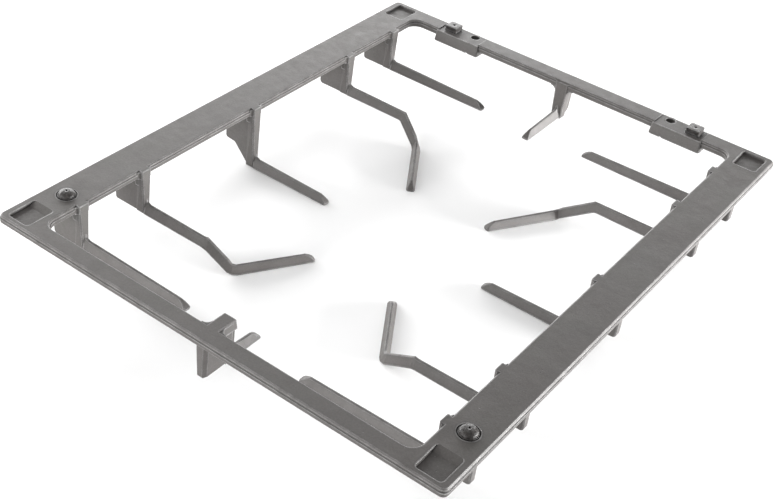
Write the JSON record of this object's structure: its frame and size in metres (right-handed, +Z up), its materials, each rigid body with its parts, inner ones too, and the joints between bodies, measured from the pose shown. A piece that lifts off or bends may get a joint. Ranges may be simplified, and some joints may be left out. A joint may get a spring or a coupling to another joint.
{
  "type": "gas hob pan support",
  "caption": "Cast-iron pan support for a single gas burner: a flat rectangular frame with drafted fingers on legs, shown with its underside and rubber feet up.",
  "frame": {"origin": "on the floor under the middle of the frame: the point below the burner's centre, in the plane of the deep fingers' flat faces", "axes": "+X from the left side bar to the right one, +Y from the near end bar to the far end bar that carries the two pads, +Z up from the pan faces to the bars' underside"},
  "size_m": [0.385, 0.4814, 0.061],
  "materials": {
    "cast_iron": "matt enamelled, slightly rough as cast",
    "rubber": "matt moulded rubber"
  },
  "bodies": {
    "root": {"grate_casting": "cast_iron", "round_foot_left": "rubber", "round_foot_right": "rubber", "square_foot_left": "rubber", "square_foot_right": "rubber"}
  },
  "joints": []
}
